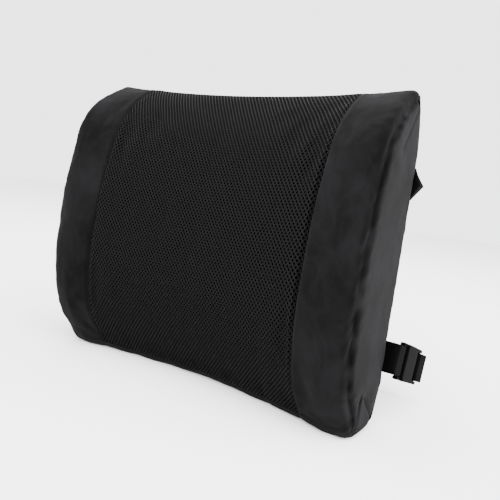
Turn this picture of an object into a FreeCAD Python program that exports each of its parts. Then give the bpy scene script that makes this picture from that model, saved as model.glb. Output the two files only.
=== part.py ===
"""Lumbar support cushion: a foam core in a sewn zip-off cover, with two buckled straps behind it.

Millimetres. +X is the sitter's left hand side seen from the front, +Y points back to the chair, +Z is up.
The origin is the middle of the flat base that the cushion stands on. Everything is built with the back
panel at y = 0 and the flat at z = BASE_TRIM, and moved to the origin when it is written.
Each make_ function returns one or more closed solids for one node.
"""

import FreeCAD
import Part
import math
import os

Vector = FreeCAD.Vector
X_AXIS = Vector(1, 0, 0)
Y_AXIS = Vector(0, 1, 0)
Z_AXIS = Vector(0, 0, 1)

# ---- cushion ----
PAD_WIDTH = 385.0
PAD_HEIGHT = 330.0
EDGE_RADIUS = 10.0          # rounding where the front, back and base turn onto the side panels
BASE_BACK_RADIUS = 13.0
BASE_FRONT_RADIUS = 13.0
TOP_RADIUS = 15.0           # nose where the front rolls over onto the back
BASE_DEPTH = 49.0           # depth at the base, along the side seam
BASE_FLARE = 31.0           # degrees that the lower front leans forward
TOP_SLOPE = 33.0            # degrees above level where the front meets the nose
TOP_DIP = 9.2               # how much lower the top edge is at the middle
BACK_OFFSET = 23.0          # back panel behind the origin
BASE_TRIM = 0.4             # taken off below, so that it stands on a true flat

# side seam: (share of height, depth in front of the back)
SIDE_OUTLINE = [(0.15, 82.0), (0.30, 94.0), (0.50, 94.5), (0.70, 86.0), (0.88, 65.5)]

# how far the front stands ahead of the side seam, across the width: (share of half width, at base, at top)
FRONT_RELIEF = [(0.0, -11.0, -15.5), (0.24, -9.0, -13.5), (0.48, -3.5, -9.0), (0.70, 4.5, -3.0),
                (0.85, 13.0, 5.5)]
EDGE_RELIEF = (11.0, 9.0)   # the same where the rounding starts, at base and at top

# ---- cover ----
COVER_WALL = 2.0
MESH_HALF_WIDTH = 135.0     # the two seams between mesh and velour
BASE_SEAM_Z = 6.0           # seam between the base panel and the front and back
TOP_SEAM_Y = -5.0           # seam between the front and the back panel, on the nose
SIDE_SEAM_INSET = 6.0       # side panel's edge, in from the silhouette

# ---- zipper, across the lower back ----
ZIP_Z = 30.0
ZIP_LENGTH = 300.0
ZIP_SLOT = 9.0              # opening between the two back panels
TAPE_WIDTH = 10.0
TAPE_WALL = 0.7
TAPE_GAP = 0.15             # tape behind the panels
COIL_WIDTH = 2.3
COIL_GAP = 1.0              # between the two coils, where the slider's wedge runs
COIL_WALL = 1.8
STOP_LENGTH = 3.0
SLIDER_LENGTH = 13.0
SLIDER_WIDTH = 7.6
PLATE_WALL = 1.2
SLIDER_PLAY = 0.35
BRIDGE_WIDTH = 2.0
BRIDGE_HEIGHT = 2.6
PULL_LENGTH = 26.0
PULL_WIDTH = 7.0
PULL_WALL = 1.4

# ---- straps ----
WEB_WIDTH = 30.0
WEB_WALL = 1.6
TAB_INSIDE = 10.0           # sewn end, inside the cover
TAB_OUTSIDE = 1.0
ROOT_Y = -3.0               # the webbing leaves the seam here, heading straight out to the side
ROOT_GAP = 0.5
TAIL_LENGTH = 15.0          # free end, from the plug's bar
FOLD_LENGTH = 9.0           # doubled webbing stitched behind the socket's bar

# ---- side release buckle ----
BUCKLE_WIDTH = 38.0
BUCKLE_WALL = 9.0
BAR_OPENING = 31.4
BAR_RADIUS = 1.9
SOCKET_LENGTH = 38.0
SOCKET_BODY = 27.0          # hollow part of the socket
SOCKET_SKIN = 1.7
WINDOW_LENGTH = 12.0        # side opening that the latch head fills
WINDOW_START = 9.0          # from the mouth
PLUG_FRAME = 20.0           # outside the socket
PLUG_BAR_AT = 54.0          # from the socket's bar to the plug's
PLUG_WALL = 7.0
PLUG_SHOULDER = 5.5
TONGUE_LENGTH = 22.0
TONGUE_WIDTH = 5.5
TONGUE_WALL = 3.2
ARM_WIDTH = 3.4
ARM_WALL = 4.6
ARM_OFFSET = 10.6            # arm's centre from the buckle's centre line
FIT_PLAY = 0.4              # clearance of the plug, tongue and arms inside the socket
SHORTEST_RUN = 0.01

HALF = PAD_WIDTH / 2




def strap_layout(name, height, droop, heading, turns, buckle_at, corner_at, slack, corners):
    """How one strap runs, as seen from above."""
    return {"name": name, "z": height, "droop": droop, "heading": heading, "turns": turns,
            "buckle_at": buckle_at, "corner_at": corner_at, "slack": slack, "corners": corners}


# height of the sewn ends; degrees that the loop hangs down; degrees from +X that the buckle points.
# turns: corners of the short webbing, as (past the side, behind the seam, radius).
# buckle_at: socket's bar, from the last turn. corner_at: first corner of the long side, from the plug's bar.
# slack: (corners in the piece that gives when the buckle opens, its end past the last of them).
# corners: the first corner's radius, then the others as (x, y, radius).
STRAPS = [
    strap_layout("lower_strap", 73.5, 17.0, 86.0, [(8.5, 0.0, 6.5)], 20.0, 36.0, (1, 30.0),
                 [17.0, (-HALF + 30.0, 82.0, 60.0), (-HALF - 20.0, 30.0, 24.0), (-HALF - 14.0, ROOT_Y, 8.0)]),
    strap_layout("upper_strap", 243.0, 3.0, 176.0, [(6.5, 0.0, 3.5), (6.5, 15.0, 6.0), (-14.0, 52.0, 16.0)],
                 36.0, 252.0, (0, 43.0), [60.0, (-HALF - 12.0, 28.0, 20.0), (-HALF - 8.0, ROOT_Y, 5.0)]),
]


# ---------------------------------------------------------------- small helpers

def box(low, high):
    size = Vector(*high) - Vector(*low)
    return Part.makeBox(size.x, size.y, size.z, Vector(*low))


def centred_box(length, width, height, centre):
    return Part.makeBox(length, width, height, Vector(*centre) - Vector(length, width, height) * 0.5)


def fillet_along(shape, axis, radius):
    """Rounds the straight edges that run along an axis."""
    edges = [e for e in shape.Edges
             if e.Curve.TypeId == "Part::GeomLine" and abs(e.Curve.Direction.dot(axis)) > 0.999]
    return shape.makeFillet(radius, edges)


def soften(shape, radius):
    return shape.makeFillet(radius, shape.Edges)


def mirrored_x(shape):
    return shape.mirror(Vector(0, 0, 0), X_AXIS)


def between(low, high, share):
    return low + (high - low) * share


# ---------------------------------------------------------------- cushion body

def relief(x, share):
    """How far the front stands ahead of the side seam at a place across the width, by share of height."""
    points = FRONT_RELIEF + [((HALF - EDGE_RADIUS) / HALF, *EDGE_RELIEF)]
    here = min(abs(x) / HALF, points[-1][0])
    for left, right in zip(points, points[1:]):
        if here <= right[0]:
            t = (here - left[0]) / (right[0] - left[0])
            return between(between(left[1], left[2], share), between(right[1], right[2], share), t)


def front_curve(x, inset):
    """The front of one upright slice, from the base's corner to the top of the nose, in (y, z)."""
    lean = math.radians(BASE_FLARE)
    height = PAD_HEIGHT - TOP_DIP * (1 - (x / HALF) ** 2)
    base_depth = BASE_DEPTH + relief(x, 0.0)
    centre_y = -base_depth + BASE_FRONT_RADIUS * (1 - math.sin(lean)) / math.cos(lean)
    start = Vector(x, centre_y - BASE_FRONT_RADIUS * math.cos(lean),
                   BASE_FRONT_RADIUS * (1 - math.sin(lean)))
    middle = [Vector(x, -depth - relief(x, share), share * height) for share, depth in SIDE_OUTLINE]
    slope = math.radians(TOP_SLOPE)
    over = Vector(0, math.cos(slope), math.sin(slope))
    end = Vector(x, -TOP_RADIUS * (1 + math.sin(slope)), height - TOP_RADIUS * (1 - math.cos(slope)))
    points = [start, *middle, end]
    rise = Vector(0, -math.sin(lean), math.cos(lean))
    curve = Part.BSplineCurve()
    curve.interpolate(Points=points, InitialTangent=rise, FinalTangent=over)
    if inset:
        moved = []
        for p in points:
            t = curve.tangent(curve.parameter(p))[0]
            moved.append(p + X_AXIS.cross(t).normalize() * -inset)
        curve = Part.BSplineCurve()
        curve.interpolate(Points=moved, InitialTangent=rise, FinalTangent=over)
    return curve, centre_y, height


def slice_wire(x, inset=0.0):
    """Outline of the cushion in the plane of one x, drawn in by inset all round."""
    curve, centre_y, height = front_curve(x, inset)
    front, back, top = (r - inset for r in (BASE_FRONT_RADIUS, BASE_BACK_RADIUS, TOP_RADIUS))
    lean = math.radians(BASE_FLARE)

    def arc(cy, cz, radius, start, end):
        middle = (start + end) / 2
        at = [Vector(x, cy + radius * math.cos(a), cz + radius * math.sin(a)) for a in (start, middle, end)]
        return Part.Arc(*at).toShape()

    base_arc = arc(centre_y, BASE_FRONT_RADIUS, front, -math.pi / 2, -math.pi + lean)
    nose_arc = arc(-TOP_RADIUS, height - TOP_RADIUS, top, math.pi / 2 + math.radians(TOP_SLOPE), 0.0)
    heel_arc = arc(-BASE_BACK_RADIUS, BASE_BACK_RADIUS, back, 0.0, -math.pi / 2)
    back_line = Part.LineSegment(nose_arc.Vertexes[-1].Point, heel_arc.Vertexes[0].Point).toShape()
    base_line = Part.LineSegment(heel_arc.Vertexes[-1].Point, base_arc.Vertexes[0].Point).toShape()
    return Part.Wire([base_arc, curve.toShape(), nose_arc, back_line, heel_arc, base_line])


def cushion_body(inset=0.0):
    """The whole cushion as one solid, drawn in by inset. Its sides are rounded by slices that shrink."""
    flat = [share * HALF for share, _, _ in FRONT_RELIEF]
    stations = [(x, inset) for x in flat]
    radius = EDGE_RADIUS - inset
    for step in range(5):
        turn = math.radians(22.5 * step)
        stations.append((HALF - EDGE_RADIUS + radius * math.sin(turn), inset + radius * (1 - math.cos(turn))))
    mirrored = [(-x, i) for x, i in reversed(stations[1:])]
    return Part.makeLoft([slice_wire(x, i) for x, i in mirrored + stations], True, False)


def side_window(x0, x1, inset):
    """A block through the side panel with the panel's own outline."""
    face = Part.Face(slice_wire(HALF - EDGE_RADIUS, inset))
    face.translate(Vector(x0 - (HALF - EDGE_RADIUS), 0, 0))
    return face.extrude(Vector(x1 - x0, 0, 0))


def zip_slot():
    """Opening in the back wall between its two panels, over the length of the zipper."""
    length = ZIP_LENGTH + 2 * STOP_LENGTH + SLIDER_LENGTH
    return box((-length / 2, -COVER_WALL * 1.5, ZIP_Z - ZIP_SLOT / 2), (length / 2, 1, ZIP_Z + ZIP_SLOT / 2))


def make_cover():
    """The cover's panels, cut from one wall along its seams."""
    outer = cushion_body().cut(box((-PAD_WIDTH, -PAD_WIDTH, -PAD_WIDTH), (PAD_WIDTH, PAD_WIDTH, BASE_TRIM)))
    inner = cushion_body(COVER_WALL)
    wall = outer.cut(inner)
    wide, deep, tall = PAD_WIDTH, PAD_WIDTH, PAD_HEIGHT + 20
    right_block = side_window(HALF - EDGE_RADIUS, HALF + 5, SIDE_SEAM_INSET)
    left_block = mirrored_x(right_block)
    band = wall.cut(right_block.fuse(left_block))
    above_base = box((-wide, -deep, BASE_SEAM_Z), (wide, deep, tall))
    behind_top = box((-wide, TOP_SEAM_Y, BASE_SEAM_Z), (wide, deep, tall))
    front = band.common(above_base).cut(behind_top)
    back = band.common(behind_top).cut(zip_slot())
    below_zip = box((-wide, TOP_SEAM_Y - 1, -1), (wide, deep, ZIP_Z))
    middle = box((-MESH_HALF_WIDTH, -deep, -1), (MESH_HALF_WIDTH, deep, tall))
    left = box((-wide, -deep, -1), (-MESH_HALF_WIDTH, deep, tall))
    right = box((MESH_HALF_WIDTH, -deep, -1), (wide, deep, tall))
    return inner, {
        "mesh_front_panel": front.common(middle),
        "left_front_panel": front.common(left),
        "right_front_panel": front.common(right),
        "right_side_panel": wall.common(right_block),
        "left_side_panel": wall.common(left_block),
        "base_panel": band.cut(above_base),
        "back_panel": back.cut(below_zip),
        "back_panel_lower_strip": back.common(below_zip),
    }


# ---------------------------------------------------------------- zipper

def zip_parts():
    """The fixed zipper pieces, all lying in the back wall across the lower back."""
    length = ZIP_LENGTH + 2 * STOP_LENGTH
    coil_z = COIL_GAP / 2
    tape_out = -COVER_WALL - TAPE_GAP
    tape_in, coil_low = tape_out - TAPE_WALL, tape_out
    parts = {}
    for name, side in (("upper", 1), ("lower", -1)):
        tape = box((-length / 2, tape_in, coil_z), (length / 2, tape_out, coil_z + TAPE_WIDTH))
        coil = box((-ZIP_LENGTH / 2, coil_low, coil_z), (ZIP_LENGTH / 2, coil_low + COIL_WALL, coil_z + COIL_WIDTH))
        coil = fillet_along(coil, X_AXIS, 0.5)
        for key, shape in (("zipper_tape_" + name, tape), ("zipper_coil_" + name, coil)):
            if side < 0:
                shape = shape.mirror(Vector(0, 0, 0), Z_AXIS)
            parts[key] = shape.translated(Vector(0, 0, ZIP_Z))
    stop = box((0, coil_low, -coil_z - COIL_WIDTH), (STOP_LENGTH, coil_low + COIL_WALL, coil_z + COIL_WIDTH))
    stop = soften(stop, 0.4)
    ends = [stop.translated(Vector(x, 0, ZIP_Z)) for x in (-length / 2, length / 2 - STOP_LENGTH)]
    parts["zipper_end_stops"] = Part.makeCompound(ends)
    return parts


def slider_start():
    """Centre of the closed slider, against the stop at the right end."""
    return ZIP_LENGTH / 2 - SLIDER_LENGTH / 2 - SLIDER_PLAY


def slider_top():
    """Outer face of the slider's upper plate."""
    return -COVER_WALL - TAPE_GAP + COIL_WALL + SLIDER_PLAY + PLATE_WALL


def make_slider():
    """Two plates joined by a wedge, with flanges round the coils and a bridge for the pull."""
    top_y = slider_top()
    under_y = -COVER_WALL - TAPE_GAP - TAPE_WALL - SLIDER_PLAY
    plate = Part.makeBox(SLIDER_LENGTH, PLATE_WALL, SLIDER_WIDTH)
    plate = fillet_along(plate, Y_AXIS, 2.2)
    plate.translate(Vector(-SLIDER_LENGTH / 2, 0, -SLIDER_WIDTH / 2))
    upper = plate.translated(Vector(0, top_y - PLATE_WALL, 0))
    under = plate.translated(Vector(0, under_y - PLATE_WALL, 0))
    wedge = box((1.5, under_y - 0.5, -COIL_GAP / 2 + 0.15), (SLIDER_LENGTH / 2 - 1, top_y - 0.5, COIL_GAP / 2 - 0.15))
    flange_in = COIL_GAP / 2 + COIL_WIDTH + SLIDER_PLAY
    flange_end = -COVER_WALL + 0.4
    body = upper.fuse([under, wedge])
    for side in (1, -1):
        flange = box((-SLIDER_LENGTH / 2 + 2.4, flange_end, flange_in), (SLIDER_LENGTH / 2 - 2.4, top_y - 0.3,
                                                                       SLIDER_WIDTH / 2))
        body = body.fuse(flange if side > 0 else flange.mirror(Vector(0, 0, 0), Z_AXIS))
    foot = 1.6
    half_bridge = 3.6
    bridge = box((-half_bridge, top_y - 0.2, -BRIDGE_WIDTH / 2), (half_bridge, top_y + BRIDGE_HEIGHT, BRIDGE_WIDTH / 2))
    bridge = fillet_along(bridge, Z_AXIS, 0.8)
    hole = box((-half_bridge + foot, top_y, -BRIDGE_WIDTH), (half_bridge - foot, top_y + BRIDGE_HEIGHT - 0.9,
                                                           BRIDGE_WIDTH))
    body = body.fuse(bridge.cut(hole))
    return body.removeSplitter().translated(Vector(slider_start(), 0, ZIP_Z))


def pull_axis_y():
    return slider_top() + 0.85


def make_pull():
    """Flat tab with an eye that hangs on the slider's bridge; at rest it lies along the zipper."""
    y = pull_axis_y()
    pin = Part.makeCylinder(0.55, PULL_WIDTH - 2, Vector(0, y, -PULL_WIDTH / 2 + 1), Z_AXIS)
    rails = []
    for side in (1, -1):
        z = side * (PULL_WIDTH / 2 - 0.9)
        rails.append(box((-8.0, y - 0.5, z - 0.9), (0.45, y + 0.5, z + 0.9)))
    tab = box((-PULL_LENGTH, y - PULL_WALL / 2, -PULL_WIDTH / 2), (-6.0, y + PULL_WALL / 2, PULL_WIDTH / 2))
    tab = fillet_along(tab, Y_AXIS, 2.4)
    hole = Part.makeCylinder(1.6, 4, Vector(-PULL_LENGTH + 4.2, y - 2, 0), Y_AXIS)
    pull = tab.fuse([pin, *rails]).cut(hole).removeSplitter()
    return pull.translated(Vector(slider_start(), 0, ZIP_Z))


# ---------------------------------------------------------------- webbing

class Ribbon:
    """A strip of webbing seen from above: straight runs joined by tangent arcs at its corners."""

    def __init__(self, points, radii):
        self.points = points
        self.radii = radii
        self.runs = self._runs()

    def _runs(self):
        """(kind, data) pieces from end to end: lines by two points, arcs by centre, radius and two angles."""
        runs, at = [], self.points[0]
        for corner, after, radius in zip(self.points[1:], self.points[2:], self.radii):
            u = (corner - at).normalize()
            v = (after - corner).normalize()
            cross = u.x * v.y - u.y * v.x
            turn = math.atan2(cross, u.dot(v))
            trim = radius * math.tan(abs(turn) / 2)
            enter, leave = corner - u * trim, corner + v * trim
            side = 1 if turn > 0 else -1
            centre = enter + Vector(-u.y, u.x, 0) * radius * side
            runs.append(("line", at, enter))
            runs.append(("arc", centre, radius, enter, leave, turn))
            at = leave
        runs.append(("line", at, self.points[-1]))
        return [run for run in runs if run[0] == "arc" or run[1].distanceToPoint(run[2]) > SHORTEST_RUN]

    def edge(self, offset):
        """The path moved sideways: to the left of its own direction for a positive offset."""
        edges = []
        for run in self.runs:
            if run[0] == "line":
                _, a, b = run
                u = (b - a).normalize()
                n = Vector(-u.y, u.x, 0) * offset
                edges.append(Part.LineSegment(a + n, b + n).toShape())
            else:
                _, centre, radius, enter, leave, turn = run
                side = 1 if turn > 0 else -1
                scale = (radius - side * offset) / radius
                spoke = enter - centre
                rotate = FreeCAD.Rotation(Z_AXIS, math.degrees(turn / 2))
                middle = centre + rotate.multVec(spoke) * scale
                edges.append(Part.Arc(centre + spoke * scale, middle, centre + (leave - centre) * scale).toShape())
        return edges

    def solid(self):
        left, right = self.edge(WEB_WALL / 2), self.edge(-WEB_WALL / 2)
        near = Part.LineSegment(left[0].Vertexes[0].Point, right[0].Vertexes[0].Point).toShape()
        far = Part.LineSegment(left[-1].Vertexes[-1].Point, right[-1].Vertexes[-1].Point).toShape()
        outline = Part.Wire(Part.__sortEdges__([*left, *right, near, far]))
        return Part.Face(outline).extrude(Vector(0, 0, WEB_WIDTH)).translated(Vector(0, 0, -WEB_WIDTH / 2))


def hang(shape, strap):
    """From the strap's own plane to the cushion: hung down by its droop about the line through both seams."""
    shape = shape.copy()
    shape.rotate(Vector(0, ROOT_Y, 0), X_AXIS, -strap["droop"])
    return shape.translated(Vector(0, 0, strap["z"]))


def short_turns(strap):
    """Corners of the short webbing with their radii."""
    return [(Vector(HALF + out, ROOT_Y + back, 0), radius) for out, back, radius in strap["turns"]]


def buckle_frame(strap):
    """(bar point, direction) of the socket in the strap's plane. The socket points along the direction."""
    heading = math.radians(strap["heading"])
    way = Vector(math.cos(heading), math.sin(heading), 0)
    return short_turns(strap)[-1][0] + way * strap["buckle_at"], way


def place_on_buckle(shape, strap):
    """From the buckle's own frame, which runs along +X from the socket's bar, to the cushion."""
    bar, _ = buckle_frame(strap)
    shape = shape.copy()
    shape.rotate(Vector(0, 0, 0), Z_AXIS, strap["heading"])
    return hang(shape.translated(bar), strap)


def bar_ring():
    """Radius of the webbing's middle where it turns round a bar."""
    return BAR_RADIUS + FIT_PLAY + WEB_WALL / 2


def make_short_webbing(strap):
    """From the right seam out, back and round the socket's bar, with its end sewn to itself."""
    bar, way = buckle_frame(strap)
    ring = bar_ring()
    n = Vector(-way.y, way.x, 0)
    turns = short_turns(strap)
    last = turns[-1][0]
    points = [Vector(HALF + TAB_OUTSIDE + ROOT_GAP, ROOT_Y, 0)]
    points += [corner for corner, _ in turns[:-1]]
    before = (last - points[-1]).normalize()
    slide = (bar - n * ring - last).cross(way).z / before.cross(way).z
    points += [last + before * slide, bar + (way - n) * ring, bar + (way + n) * ring, bar - way + n * ring]
    radii = [radius for _, radius in turns] + [ring, ring]
    meet = bar - way * FOLD_LENGTH - n * (ring - WEB_WALL * 0.6)
    fold = [bar - way * 0.9 + n * ring, bar - way * 2.5 + n * ring, meet]
    return hang(Ribbon(points, radii).solid().fuse(Ribbon(fold, [3.0]).solid()).removeSplitter(), strap)


def plug_bar(strap):
    """Centre of the plug's webbing bar, in the strap's plane."""
    bar, way = buckle_frame(strap)
    return bar + way * PLUG_BAR_AT


def long_corners(strap):
    """Corners of the long side with their radii, from the plug to the left seam."""
    _, way = buckle_frame(strap)
    first_radius, *others = strap["corners"]
    first = (plug_bar(strap) + way * strap["corner_at"], first_radius)
    return [first] + [(Vector(x, y, 0), radius) for x, y, radius in others]


def slack_end(strap):
    """Where the slack piece ends and the long webbing starts."""
    count, past = strap["slack"]
    corners = [plug_bar(strap)] + [corner for corner, _ in long_corners(strap)]
    return corners[count] + (corners[count + 1] - corners[count]).normalize() * past


def make_long_webbing(strap):
    corners = long_corners(strap)[strap["slack"][0]:]
    end = Vector(-HALF - TAB_OUTSIDE - ROOT_GAP, ROOT_Y, 0)
    points = [slack_end(strap), *(corner for corner, _ in corners), end]
    return hang(Ribbon(points, [radius for _, radius in corners]).solid(), strap)


def make_slack(strap):
    """The webbing round the plug's bar: a short free end, and the run that gives when the buckle opens."""
    bar = plug_bar(strap)
    _, way = buckle_frame(strap)
    ring = bar_ring()
    n = Vector(-way.y, way.x, 0)
    corners = long_corners(strap)[:strap["slack"][0]]
    points = [slack_end(strap), *(corner for corner, _ in reversed(corners))]
    points += [bar + way * 11.0, bar + way * 4.5 + n * ring, bar + (n - way) * ring, bar - (n + way) * ring,
               bar + way * TAIL_LENGTH - n * (ring + 1.0)]
    radii = [radius for _, radius in reversed(corners)] + [5.0, 4.0, ring, ring]
    return hang(Ribbon(points, radii).solid(), strap)


def make_tab(strap, side):
    """The webbing's sewn end, held in the seam at the back corner of one side."""
    low = (HALF - TAB_INSIDE, ROOT_Y - WEB_WALL / 2, -WEB_WIDTH / 2)
    high = (HALF + TAB_OUTSIDE, ROOT_Y + WEB_WALL / 2, WEB_WIDTH / 2)
    tab = box(low, high)
    tab.rotate(Vector(0, ROOT_Y, 0), X_AXIS, -strap["droop"])
    tab.translate(Vector(0, 0, strap["z"]))
    return tab if side > 0 else mirrored_x(tab)


# ---------------------------------------------------------------- buckle
# Own frame: +X from the socket's bar towards the plug, Y through its wall, Z across the webbing.

def rounded_plate(x0, x1, wall, width, corner, edge):
    plate = centred_box(x1 - x0, wall, width, ((x0 + x1) / 2, 0, 0))
    plate = fillet_along(plate, Y_AXIS, corner)
    return soften(plate, edge) if edge else plate


def socket_mouth():
    return SOCKET_LENGTH - BAR_RADIUS


def make_socket():
    """Hollow housing with side windows for the latch heads and a bar for the sewn webbing."""
    mouth = socket_mouth()
    body_start = mouth - SOCKET_BODY
    body = rounded_plate(body_start, mouth, BUCKLE_WALL, BUCKLE_WIDTH, 3.0, 1.2)
    cavity_wall = ARM_WALL + 2 * FIT_PLAY
    cavity_width = BUCKLE_WIDTH - 2 * SOCKET_SKIN - 1.4
    cavity = centred_box(SOCKET_BODY - 2.5 + 5, cavity_wall, cavity_width, (body_start + 2.5 + (SOCKET_BODY + 2.5) / 2,
                                                                        0, 0))
    windows = centred_box(WINDOW_LENGTH, cavity_wall, BUCKLE_WIDTH + 4, (mouth - WINDOW_START - WINDOW_LENGTH / 2,
                                                                      0, 0))
    body = body.cut(cavity.fuse(windows))
    rail_width = (BUCKLE_WIDTH - BAR_OPENING) / 2
    rail_wall = BUCKLE_WALL * 0.55
    frame = body
    for side in (1, -1):
        z = side * (BUCKLE_WIDTH - rail_width) / 2
        rail = centred_box(body_start + BAR_RADIUS + 2, rail_wall, rail_width, ((body_start - BAR_RADIUS + 2) / 2, 0, z))
        frame = frame.fuse(soften(rail, 0.8))
    bar = Part.makeCylinder(BAR_RADIUS, BAR_OPENING + 1, Vector(0, 0, -(BAR_OPENING + 1) / 2), Z_AXIS)
    return frame.fuse(bar).removeSplitter()


def arm_profile(side):
    """Spring arm with its latch head, from the plug's shoulder into the socket's window."""
    mouth = socket_mouth()
    root = mouth + 0.1
    head_end = mouth - WINDOW_START - WINDOW_LENGTH + 0.6
    head_start = mouth - WINDOW_START - 1.8
    inner = ARM_OFFSET - ARM_WIDTH / 2
    outer = ARM_OFFSET + ARM_WIDTH / 2
    latch = BUCKLE_WIDTH / 2 + 0.2
    points = [(root, inner), (root, outer), (head_start + 1.5, outer + 1.0), (head_start, latch),
              (head_end + 5.5, latch), (head_end, outer + 1.2), (head_end - 1.2, inner + 1.2), (head_end + 3.0, inner)]
    wire = Part.makePolygon([Vector(x, -ARM_WALL / 2, side * z) for x, z in [*points, points[0]]])
    arm = Part.Face(wire).extrude(Vector(0, ARM_WALL, 0))
    return fillet_along(arm, Y_AXIS, 0.6)


def make_plug():
    """Frame with two webbing bars and a guide tongue that enters the socket."""
    mouth = socket_mouth()
    start = mouth + 0.3
    frame = rounded_plate(start, start + PLUG_FRAME, PLUG_WALL, BUCKLE_WIDTH, 3.0, 1.0)
    opening = box((start + PLUG_SHOULDER, -PLUG_WALL, -BAR_OPENING / 2),
                  (start + PLUG_FRAME + 1, PLUG_WALL, BAR_OPENING / 2))
    frame = frame.cut(opening)
    bar = Part.makeCylinder(BAR_RADIUS, BAR_OPENING + 1, Vector(PLUG_BAR_AT, 0, -(BAR_OPENING + 1) / 2), Z_AXIS)
    tongue = centred_box(TONGUE_LENGTH + 1, TONGUE_WALL, TONGUE_WIDTH, (start - TONGUE_LENGTH / 2 + 0.5, 0, 0))
    return frame.fuse([bar, fillet_along(tongue, Y_AXIS, 1.2)]).removeSplitter()


# ---------------------------------------------------------------- assembly

def make_strap(strap):
    name = strap["name"]
    return {
        name + "_right_tab": make_tab(strap, 1),
        name + "_left_tab": make_tab(strap, -1),
        name + "_short_webbing": make_short_webbing(strap),
        name + "_long_webbing": make_long_webbing(strap),
        name + "_slack_webbing": make_slack(strap),
        name + "_buckle_socket": place_on_buckle(make_socket(), strap),
        name + "_buckle_plug": place_on_buckle(make_plug(), strap),
        name + "_latch_arm_upper": place_on_buckle(arm_profile(1), strap),
        name + "_latch_arm_lower": place_on_buckle(arm_profile(-1), strap),
    }


def main():
    core, nodes = make_cover()
    nodes.update(zip_parts())
    nodes["zipper_slider"] = make_slider()
    nodes["zipper_pull"] = make_pull()
    straps = {}
    for strap in STRAPS:
        straps.update(make_strap(strap))
    tabs = [shape for name, shape in straps.items() if name.endswith("_tab")]
    slot = Part.makeCompound(tabs)
    for name in ("back_panel", "left_side_panel", "right_side_panel", "left_front_panel", "right_front_panel"):
        nodes[name] = nodes[name].cut(slot)
    zip_room = box((-ZIP_LENGTH / 2 - STOP_LENGTH - 1, -COVER_WALL - 4.5, ZIP_Z - TAPE_WIDTH - 1),
                   (ZIP_LENGTH / 2 + STOP_LENGTH + 1, 0, ZIP_Z + TAPE_WIDTH + 1))
    nodes["foam_core"] = core.cut(slot).cut(zip_room)
    nodes.update(straps)
    os.makedirs("parts", exist_ok=True)
    for name, shape in sorted(nodes.items()):
        shape = shape.translated(Vector(0, BACK_OFFSET, -BASE_TRIM))
        shape.exportStep(os.path.join("parts", name + ".step"))
        print(f"{name}: {len(shape.Solids)} solid(s), {shape.Volume:.0f} mm3, valid {shape.isValid()}")


main()
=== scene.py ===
import math

import bmesh
import bpy
import numpy as np
from mathutils import Matrix, Vector, noise


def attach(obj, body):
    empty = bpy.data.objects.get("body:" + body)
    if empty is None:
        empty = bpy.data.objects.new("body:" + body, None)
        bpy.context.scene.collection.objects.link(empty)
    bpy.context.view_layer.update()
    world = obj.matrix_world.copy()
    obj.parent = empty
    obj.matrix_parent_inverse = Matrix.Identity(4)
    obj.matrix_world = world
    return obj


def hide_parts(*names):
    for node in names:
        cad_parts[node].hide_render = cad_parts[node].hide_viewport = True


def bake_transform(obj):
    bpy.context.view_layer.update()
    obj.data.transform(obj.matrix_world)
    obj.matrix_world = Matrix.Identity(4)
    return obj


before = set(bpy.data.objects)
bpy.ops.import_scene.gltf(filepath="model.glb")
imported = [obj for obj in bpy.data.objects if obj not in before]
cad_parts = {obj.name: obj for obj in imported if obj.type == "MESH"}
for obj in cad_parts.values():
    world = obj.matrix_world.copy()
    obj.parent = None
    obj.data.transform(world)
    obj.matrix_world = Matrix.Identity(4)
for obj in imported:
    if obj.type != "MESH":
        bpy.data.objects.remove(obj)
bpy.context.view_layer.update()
MM = 0.001

# ------------------------------------------------------------------ camera, before anything is made

camera_data = bpy.data.cameras.new("studio_camera")
camera_data.sensor_width = 36.0
camera_data.lens = 39.46
camera = bpy.data.objects.new("studio_camera", camera_data)
bpy.context.scene.collection.objects.link(camera)
yaw, pitch, roll = math.radians(32.26), math.radians(-6.0), math.radians(7.6)
ahead = Vector((-math.sin(yaw) * math.cos(pitch), math.cos(yaw) * math.cos(pitch), math.sin(pitch)))
level_right = Vector((math.cos(yaw), math.sin(yaw), 0.0))
level_up = level_right.cross(ahead)
right = level_right * math.cos(roll) + level_up * math.sin(roll)
up = level_up * math.cos(roll) - level_right * math.sin(roll)
camera.matrix_world = Matrix.Translation(Vector((351.7, -503.6, 214.8)) * MM) @ Matrix(
    (right, up, -ahead)).transposed().to_4x4()
bpy.context.scene.camera = camera

# ------------------------------------------------------------------ sizes, in millimetres

BACK_Y = 23.0               # back panel, behind the origin
TRIM = 0.4                  # flat that the cushion stands on, above its outline's lowest line
HALF = 192.5
HEIGHT = 330.0
EDGE_R = 10.0
BASE_R = 13.0
TOP_R = 15.0
BASE_DEPTH = 49.0
BASE_FLARE = math.radians(31.0)
TOP_SLOPE = math.radians(33.0)
TOP_DIP = 9.2
SIDE_OUTLINE = ((0.15, 82.0), (0.30, 94.0), (0.50, 94.5), (0.70, 86.0), (0.88, 65.5))
RELIEF_AT = np.array((0.0, 0.24, 0.48, 0.70, 0.85, (HALF - EDGE_R) / HALF))
RELIEF_BASE = np.array((-11.0, -9.0, -3.5, 4.5, 13.0, 11.0))
RELIEF_TOP = np.array((-15.5, -13.5, -9.0, -3.0, 5.5, 9.0))
MESH_HALF = 135.0
ZIP_Z = 30.0
ZIP_HALF = 150.0
WEB = 30.0
WEB_WALL = 1.6

# ------------------------------------------------------------------ finishes


def colour(code):
    """sRGB hex to the linear colour that a shader takes."""
    channels = [int(code[i:i + 2], 16) / 255 for i in (1, 3, 5)]
    return [c / 12.92 if c <= 0.04045 else ((c + 0.055) / 1.055) ** 2.4 for c in channels] + [1.0]


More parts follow.
